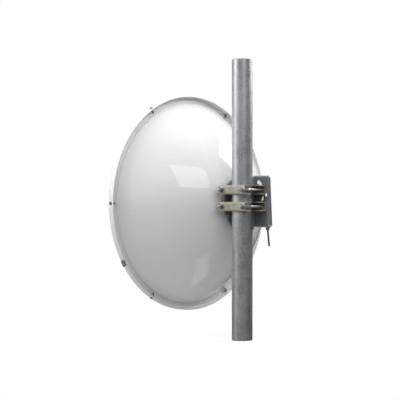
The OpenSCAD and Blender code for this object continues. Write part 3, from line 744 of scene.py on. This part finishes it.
def make_studs(name, node, axis, r, head_r, head_h, thread_l, pitch):
    """Plain studs with a low round head, or none, and a threaded end."""
    bm = bmesh.new()
    k = "xyz".index(axis[-1])
    around = 32
    for low, high in solids(node):
        total = high[k] - low[k]
        start = [(TIP_R, 0)]
        if head_h:
            start += [(head_r - 0.4 * MM, 0), (head_r, 0.4 * MM), (head_r, head_h), (r, head_h)]
        else:
            start += [(r * 0.8, 0), (r, r * 0.2)]
        start += [(r, total - thread_l)]
        rings = [circle(a, z, around) for a, z in start]
        rings += thread_rings(r, pitch, total - thread_l + 0.1 * MM, total - 0.9 * MM, around)
        rings += [circle(r * 0.76, total, around), circle(TIP_R, total, around)]
        add_rings(bm, rings, axis_place(low, high, axis))
    stand_in(name, bm, node, 30)


def make_fasteners():
    m8_bolt = {"r": 4 * MM, "half_width": HEX_M8, "head_h": HEAD_M8, "pitch": PITCH_M8}
    make_studs("clamp_stud_set", "clamp_studs", "x", r=4 * MM, head_r=7.2 * MM, head_h=1.2 * MM,
               thread_l=46 * MM, pitch=PITCH_M8)
    # the clamp nuts take the darker steel, whose colour is painted reflection of the dark surroundings
    make_nuts("clamp_nut_set", "clamp_nuts", "x", HEX_M8, 4.05 * MM, turn=15, material=DARK_REFLECTION_STEEL)
    make_washers("clamp_washer_set", "clamp_washers", "x", bore=4.25 * MM)
    make_studs("pivot_bolt", "pivot_stud", "-x", r=5 * MM, head_r=6 * MM, head_h=3 * MM,
               thread_l=18 * MM, pitch=PITCH_M10)
    make_nuts("pivot_lock_nut", "pivot_nut", "x", HEX_M10, bore=5.05 * MM)
    make_washers("pivot_flat_washer", "pivot_washer", "x", bore=5.25 * MM)
    make_washers("pivot_bush", "pivot_spacer", "x", bore=5.2 * MM)
    make_bolts("lock_bolt_set", "lock_bolts", "-x", thread_l=16 * MM, **m8_bolt)
    make_nuts("lock_nut_set", "lock_nuts", "x", HEX_M8, bore=4.05 * MM)
    make_washers("lock_washer_set", "lock_washers", "x", bore=4.2 * MM)
    make_washers("lock_bush_set", "lock_spacers", "x", bore=4.2 * MM)
    make_bolts("hub_bolt_set", "hub_bolts", "-y", thread_l=9 * MM, **m8_bolt)
    make_washers("hub_washer_set", "hub_washers", "y", bore=4.2 * MM)
    make_studs("wing_stud_set", "wing_bolts", "y", r=3 * MM, head_r=3 * MM, head_h=0,
               thread_l=10 * MM, pitch=PITCH_M6)
    make_nuts("wing_nut_set", "wing_nuts", "y", HEX_M6, bore=3.05 * MM)


def make_rim_nuts():
    bm = bmesh.new()
    height = 4.5 * MM
    for low, high in solids("rim_nuts"):
        centre = (low + high) / 2
        radius = math.hypot(centre.x - DISH_X, centre.z - DISH_Z)
        place = rim_place(low, high, radius - height / 2)
        add_rings(bm, nut_rings(HEX_M5, height, bore=2.55 * MM), place, looped=True)
    stand_in("rim_nut_set", bm, "rim_nuts", 28)


# ---- jack ----

def jack_frame():
    """The trunnion's centre, and the rotation that lays local +Z up the rod."""
    low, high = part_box("trunnion")
    rod_low, rod_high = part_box("jack_screw")
    origin = Vector(((rod_low.x + rod_high.x) / 2, (low.y + high.y) / 2, (low.z + high.z) / 2))
    down = Vector(next(j["axis"] for j in frame["joints"] if j["name"] == "jack_travel"))
    up = -down.normalized()
    side = Vector((1, 0, 0))
    basis = Matrix((side, up.cross(side), up)).transposed()
    return origin, basis.to_4x4()


def make_jack():
    """The eye and its threaded rod, and the nuts and washers that hold the rod to the shelf."""
    origin, turn = jack_frame()
    place = Matrix.Translation(origin) @ turn
    up = turn.to_3x3() @ Vector((0, 0, 1))
    rod_low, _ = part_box("jack_screw")
    r = 3 * MM
    around = 24
    length = (origin.z - rod_low.z) / up.z
    neck = 9.5 * MM                                 # below the trunnion, where the eye's copy is cut
    rod_top = -7 * MM
    thread_top = -22 * MM
    rounded_copy("jack_eye", "jack_screw", 0.7 * MM, cut=(origin - up * neck, -up))
    bm = bmesh.new()
    rings = [circle(TIP_R, -length, around), circle(r * 0.74, -length, around)]
    rings += thread_rings(r, PITCH_M6, -length + 0.6 * MM, thread_top, around)
    rings += [circle(r, thread_top + 0.5 * MM, around), circle(r, rod_top, around),
              circle(TIP_R, rod_top, around)]
    add_rings(bm, rings, place)
    piece("jack_rod", bm, "blackened_steel", "jack", sharp=30)
    for name, node, height in (("jack_nut_pair", "jack_nuts", 5.5 * MM),
                               ("jack_washer_pair", "jack_washers", 1.4 * MM)):
        bm = bmesh.new()
        for low, high in solids(node):
            along = ((low + high) / 2 - origin).dot(up)
            spot = place @ Matrix.Translation((0, 0, along - height / 2))
            if node == "jack_nuts":
                add_rings(bm, nut_rings(HEX_M6, height, bore=3.05 * MM), spot, looped=True)
            else:
                add_spin(bm, washer_profile(6.5 * MM, 3.3 * MM, height), spot, 40)
        stand_in(name, bm, node, 28)


# ---- mast ----

def make_mast():
    """Pipe with sawn ends, an inside weld bead, and the slight lumps of its zinc."""
    bm = bmesh.new()
    wall = 2.9 * MM
    chamfer = 1.2 * MM
    outer = (mast_high.x - mast_low.x) / 2
    bore = outer - wall
    height = mast_high.z - mast_low.z
    levels = 90
    profile = [(outer - chamfer, 0), (outer, chamfer)]
    profile += [(outer, height * i / levels) for i in range(1, levels)]
    profile += [(outer, height - chamfer), (outer - chamfer, height),
                (bore + chamfer, height), (bore, height - chamfer)]
    profile += [(bore, height * (levels - i) / levels) for i in range(1, levels)]
    profile += [(bore, chamfer), (bore + chamfer, 0)]
    add_spin(bm, profile, Matrix.Identity(4), 128)
    near_wall = 0.1 * MM                            # vertices this close to a wall belong to it
    skin = 0.1 * MM                                 # keeps the zinc's lumps inside the outline
    seam_angle = math.radians(200)
    seam_half, seam_height = 2.4 * MM, 0.7 * MM
    for v in bm.verts:
        radius = math.hypot(v.co.x, v.co.y)
        flat = Vector((v.co.x, v.co.y, 0)) / radius
        if radius > outer - near_wall:
            v.co -= flat * (skin + wave(v.co, 24, 0.09 * MM, 5) + wave(v.co, 70, 0.05 * MM, 6))
        elif radius < bore + near_wall:
            turn = abs((math.atan2(v.co.y, v.co.x) - seam_angle + math.pi) % math.tau - math.pi)
            bead = max(0.0, 1 - (turn * bore / seam_half) ** 2)
            v.co -= flat * bead * (seam_height + wave(v.co, 120, 0.3 * MM, 7))
    tube = piece("mast_tube", bm, "galvanised_tube", "mast", ("mast",), sharp=40)
    # faces at the sawn ends take the dark steel: partly bare cut steel, partly painted shade along the pipe's top
    # edge
    tube.data.materials.append(SAWN_EDGE_SHADE_STEEL)
    sawn = 1.2 * chamfer
    for face in tube.data.polygons:
        if not sawn < face.center.z < height - sawn:
            face.material_index = 1


# ---- bracket, hub and small parts ----

def make_bracket():
    """The pressed and cut plates: CAD node, piece name and edge radius."""
    for node, name, edge in (("channel_upper", "channel_upper_pressing", 0.5),
                             ("channel_lower", "channel_lower_pressing", 0.5),
                             ("saddle_upper", "saddle_upper_pressing", 0.5),
                             ("saddle_lower", "saddle_lower_pressing", 0.5),
                             ("mast_plate", "mast_plate_pressing", 0.5),
                             ("tilt_wing", "tilt_wing_plate", 0.5),
                             ("hub_plate", "hub_mount_plate", 0.6),
                             ("rim_clip", "rim_tether_lug", 0.35)):
        rounded_copy(name, node, edge * MM)


def make_earth_screw():
    """M6 screw, head up through the plate's lower flange, with a washer and nut below it."""
    bm = bmesh.new()
    low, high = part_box("earth_screw")
    head_h, plate, washer_h = 4 * MM, 4 * MM, 1.5 * MM
    place = Matrix.Translation(((low.x + high.x) / 2, (low.y + high.y) / 2, high.z))
    place = place @ AXIS_TURN["-z"] @ Matrix.Translation((0, 0, head_h))
    length = high.z - low.z - head_h
    add_rings(bm, bolt_rings(3 * MM, HEX_M6, head_h, length, 9 * MM, PITCH_M6), place)
    washer = place @ Matrix.Translation((0, 0, plate))
    add_spin(bm, washer_profile(7 * MM, 3.02 * MM, washer_h), washer, 40)
    nut = place @ Matrix.Translation((0, 0, plate + washer_h))
    add_rings(bm, nut_rings(HEX_M6, 5 * MM, bore=3.02 * MM), nut, looped=True)
    stand_in("earth_screw_set", bm, "earth_screw", 28)


def make_port():
    """Weatherproof network inlet: ribbed collar and the socket's contacts."""
    low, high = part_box("port_housing")
    flange_r = (high.x - low.x) / 2
    collar_r = flange_r - 1.5 * MM
    bore = flange_r - 3.5 * MM
    height = high.y - low.y
    count = 96
    hole_r, ledge = 6 * MM, 4 * MM                  # the hole for the socket, and the ledge round it
    # (radius, height) before and after the ribs
    before = [(hole_r, 0), (flange_r - 0.5 * MM, 0), (flange_r, 0.5 * MM), (flange_r, 5 * MM),
              (flange_r - 0.6 * MM, 5.8 * MM), (collar_r, 6 * MM), (collar_r, 8 * MM)]
    after = [(collar_r, height - 2 * MM), (collar_r, height - 0.6 * MM),
             (collar_r - 0.5 * MM, height), (bore + 0.5 * MM, height), (bore, height - 0.5 * MM),
             (bore, ledge), (hole_r, ledge)]
    ribs = [notched(collar_r, z, 0.5 * MM, 4, count) for z in (8.4 * MM, height - 2.4 * MM)]
    rings = [circle(r, z, count) for r, z in before] + ribs + [circle(r, z, count) for r, z in after]
    bm = bmesh.new()
    add_rings(bm, rings, axis_place(low, high, "y"), looped=True)
    piece("port_collar", bm, "port_plastic", "head", ("port_housing",), sharp=35)

    socket_low, socket_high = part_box("port_jack")
    centre = (socket_low + socket_high) / 2
    contacts, pitch, half_thick = 8, 1.02 * MM, 0.22 * MM
    bm = bmesh.new()
    for i in range(contacts):
        x = centre.x + (i - (contacts - 1) / 2) * pitch
        start = Vector((x, socket_low.y + 2.2 * MM, centre.z + 3.4 * MM))
        bend = Vector((x, socket_low.y + 3.4 * MM, centre.z + 0.6 * MM))
        tip = Vector((x, socket_high.y - 1.4 * MM, centre.z + 3.3 * MM))
        for a, b in ((start, bend), (bend, tip)):
            add_bar(bm, a, b, half_thick)
    piece("port_contacts", bm, "stainless", "head", material=CONTACT_GOLD)


def add_bar(bm, a, b, half):
    """A square bar from a to b."""
    along = (b - a).normalized()
    side = along.orthogonal().normalized()
    other = along.cross(side)
    rings = []
    for p in (a, b):
        rings.append([p + side * half * i + other * half * j
                      for i, j in ((1, 1), (-1, 1), (-1, -1), (1, -1))])
    add_rings(bm, rings)


def make_vent():
    """Breather cap with a notched grip and a recess in its face."""
    low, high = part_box("vent_plug")
    r = (high.x - low.x) / 2
    count = 60
    rings = [circle(TIP_R, 0, count), circle(r, 0, count), circle(r, 1.6 * MM, count)]
    rings += [notched(r, z, 0.6 * MM, 5, count) for z in (1.8 * MM, 2.5 * MM)]
    rings += [circle(r - 1.2 * MM, 3.2 * MM, count), circle(r - 2.4 * MM, 4.0 * MM, count),
              circle(1.4 * MM, 4.0 * MM, count), circle(1.2 * MM, 3.4 * MM, count),
              circle(TIP_R, 3.4 * MM, count)]
    bm = bmesh.new()
    add_rings(bm, rings, axis_place(low, high, "y"))
    piece("vent_cap", bm, "seal_rubber", "head", ("vent_plug",), sharp=35)


def finish_cad_nodes():
    """Gives each CAD node its record slot's material."""
    for name, obj in NODES.items():
        obj.data.materials.clear()
        obj.data.materials.append(MATERIALS[SLOT_OF[name]])


# ---- stage, light and camera ----

VIEW_ANGLE = math.radians(45.5)                     # from the dish's axis, seen from behind
VIEW_DISTANCE = 4.238                               # to the rim's centre
VIEW_RIGHT, VIEW_UP = 0.038, 0.0092                 # the camera's shift off that line
LENS, SENSOR = 124.74, 36                           # in millimetres


def camera_frame():
    """The view's forward and right directions."""
    forward = Vector((-math.sin(VIEW_ANGLE), -math.cos(VIEW_ANGLE), 0))
    return forward, forward.cross(Vector((0, 0, 1)))


def make_camera():
    forward, right = camera_frame()
    data = bpy.data.cameras.new("view")
    data.sensor_width = SENSOR
    data.lens = LENS
    camera = bpy.data.objects.new("view", data)
    camera.location = DISH_CENTRE - forward * VIEW_DISTANCE + right * VIEW_RIGHT
    camera.location.z += VIEW_UP
    camera.rotation_euler = forward.to_track_quat("-Z", "Y").to_euler()
    COLLECTION.objects.link(camera)
    bpy.context.scene.camera = camera


def soft_box(name, azimuth, elevation, distance, width, height, radiance):
    """A rectangular light facing the dish; azimuth 0 is at the camera's side, and grows rightwards."""
    forward, right = camera_frame()
    turn, lift = math.radians(azimuth), math.radians(elevation)
    aim = (right * math.sin(turn) - forward * math.cos(turn)) * math.cos(lift)
    aim.z += math.sin(lift)
    data = bpy.data.lights.new(name, "AREA")
    data.shape = "RECTANGLE"
    data.size = width
    data.size_y = height
    data.energy = radiance * math.pi * width * height
    light = bpy.data.objects.new(name, data)
    light.location = DISH_CENTRE + aim * distance
    light.rotation_euler = aim.to_track_quat("Z", "Y").to_euler()
    COLLECTION.objects.link(light)


def make_lights():
    # name, azimuth and elevation in degrees, distance, width and height in metres, radiance
    for light in (("overhead", 0, 88, 2.4, 2.6, 2.2, 0.45),
                  ("behind_camera", 24, 32, 3.2, 1.6, 1.4, 2.9),
                  ("right_side", 104, 34, 2.7, 0.9, 1.7, 6.0),
                  ("floor_card", 98, -64, 2.4, 1.4, 0.35, 0.8),
                  ("far_right", 124, 30, 2.7, 0.9, 1.8, 4.6),
                  ("left_side", -76, 26, 2.7, 1.2, 1.9, 4.1)):
        soft_box(*light)


def make_world():
    """The light all round, which the backdrop hides from the camera: darkest from eye level down to
    a third of the way, lighter above and below, and brighter on the left."""
    # brightness by height, as (share of the way from straight down to straight up, level)
    stops = [(0.0, 0.48), (0.22, 0.26), (0.32, 0.06), (0.49, 0.03), (0.55, 0.30),
             (0.64, 0.42), (1.0, 0.70)]
    left_strength, right_strength = 2.5, 0.75
    blue = 1.01                                     # a little more of it between the two ends
    world = bpy.data.worlds.new("studio")
    world.use_nodes = True
    nodes, links = world.node_tree.nodes, world.node_tree.links
    direction = nodes.new("ShaderNodeTexCoord").outputs["Generated"]
    split = nodes.new("ShaderNodeSeparateXYZ")
    links.new(direction, split.inputs["Vector"])
    height = nodes.new("ShaderNodeMapRange")
    height.inputs["From Min"].default_value = -1.0
    links.new(split.outputs["Z"], height.inputs["Value"])
    ramp = nodes.new("ShaderNodeValToRGB")
    links.new(height.outputs["Result"], ramp.inputs["Fac"])
    elements = ramp.color_ramp.elements
    elements[0].position, elements[0].color = stops[0][0], (*[stops[0][1]] * 3, 1)
    elements[1].position, elements[1].color = stops[-1][0], (*[stops[-1][1]] * 3, 1)
    for position, level in stops[1:-1]:
        elements.new(position).color = (level, level, level * blue, 1)
    _, right = camera_frame()
    side = nodes.new("ShaderNodeVectorMath")
    side.operation = "DOT_PRODUCT"
    links.new(direction, side.inputs[0])
    side.inputs[1].default_value = right
    lift = nodes.new("ShaderNodeMapRange")
    for key, number in (("From Min", -1.0), ("From Max", 1.0),
                        ("To Min", left_strength), ("To Max", right_strength)):
        lift.inputs[key].default_value = number
    links.new(side.outputs["Value"], lift.inputs["Value"])
    links.new(ramp.outputs["Color"], nodes["Background"].inputs["Color"])
    links.new(lift.outputs["Result"], nodes["Background"].inputs["Strength"])
    bpy.context.scene.world = world


def stage_object(name, bm, material):
    """A set piece that the camera sees, and that neither lights nor shades the part."""
    mesh = bpy.data.meshes.new(name)
    bm.to_mesh(mesh)
    bm.free()
    mesh.materials.append(material)
    obj = bpy.data.objects.new(name, mesh)
    obj.visible_diffuse = False
    obj.visible_glossy = False
    COLLECTION.objects.link(obj)
    obj.visible_shadow = False
    return obj


def make_stage():
    """A pale floor that fades into a white backdrop."""
    gap = 0.0005                                    # between the mast's foot and the floor
    fade_from, fade_to = 0.05, 1.0                  # metres from the mast
    glow_near, glow_far = 0.5, 1.0
    pale = Shader("pale_floor", (0.9, 0.9, 0.9), roughness=0.9, specular=0.1)
    pale.color(pale.ramp(pale.noise(3), [(0.3, (0.90, 0.90, 0.90)), (0.7, (0.92, 0.92, 0.92))]))
    distance = pale.tree.nodes.new("ShaderNodeVectorMath")
    distance.operation = "LENGTH"
    pale.link(pale.position, distance.inputs[0])
    fade = pale.value(distance.outputs["Value"], fade_from, fade_to, glow_near, glow_far)
    glow = pale.tree.nodes.new("ShaderNodeEmission")
    blend = pale.tree.nodes.new("ShaderNodeMixShader")
    pale.link(fade, blend.inputs["Fac"])
    pale.link(pale.surface.outputs["BSDF"], blend.inputs[1])
    pale.link(glow.outputs["Emission"], blend.inputs[2])
    output = next(n for n in pale.tree.nodes if n.type == "OUTPUT_MATERIAL")
    pale.link(blend.outputs["Shader"], output.inputs["Surface"])
    bm = bmesh.new()
    bmesh.ops.create_circle(bm, cap_ends=True, segments=128, radius=9.0)
    floor = stage_object("floor", bm, pale.material)
    floor.location.z = mast_low.z - gap

    white = bpy.data.materials.new("white_backdrop")
    white.use_nodes = True
    white.node_tree.nodes.clear()
    glow = white.node_tree.nodes.new("ShaderNodeEmission")
    out = white.node_tree.nodes.new("ShaderNodeOutputMaterial")
    white.node_tree.links.new(glow.outputs["Emission"], out.inputs["Surface"])
    bm = bmesh.new()
    bmesh.ops.create_uvsphere(bm, u_segments=48, v_segments=24, radius=30.0)
    stage_object("backdrop", bm, white)


make_camera()
finish_cad_nodes()
make_dish_shell()
make_radome()
make_rim_screws()
make_rim_nuts()
make_mast()
make_bracket()
make_fasteners()
make_jack()
make_earth_screw()
make_port()
make_vent()
make_lights()
make_world()
make_stage()
bpy.context.scene.view_settings.view_transform = "Standard"

bpy.context.view_layer.update()
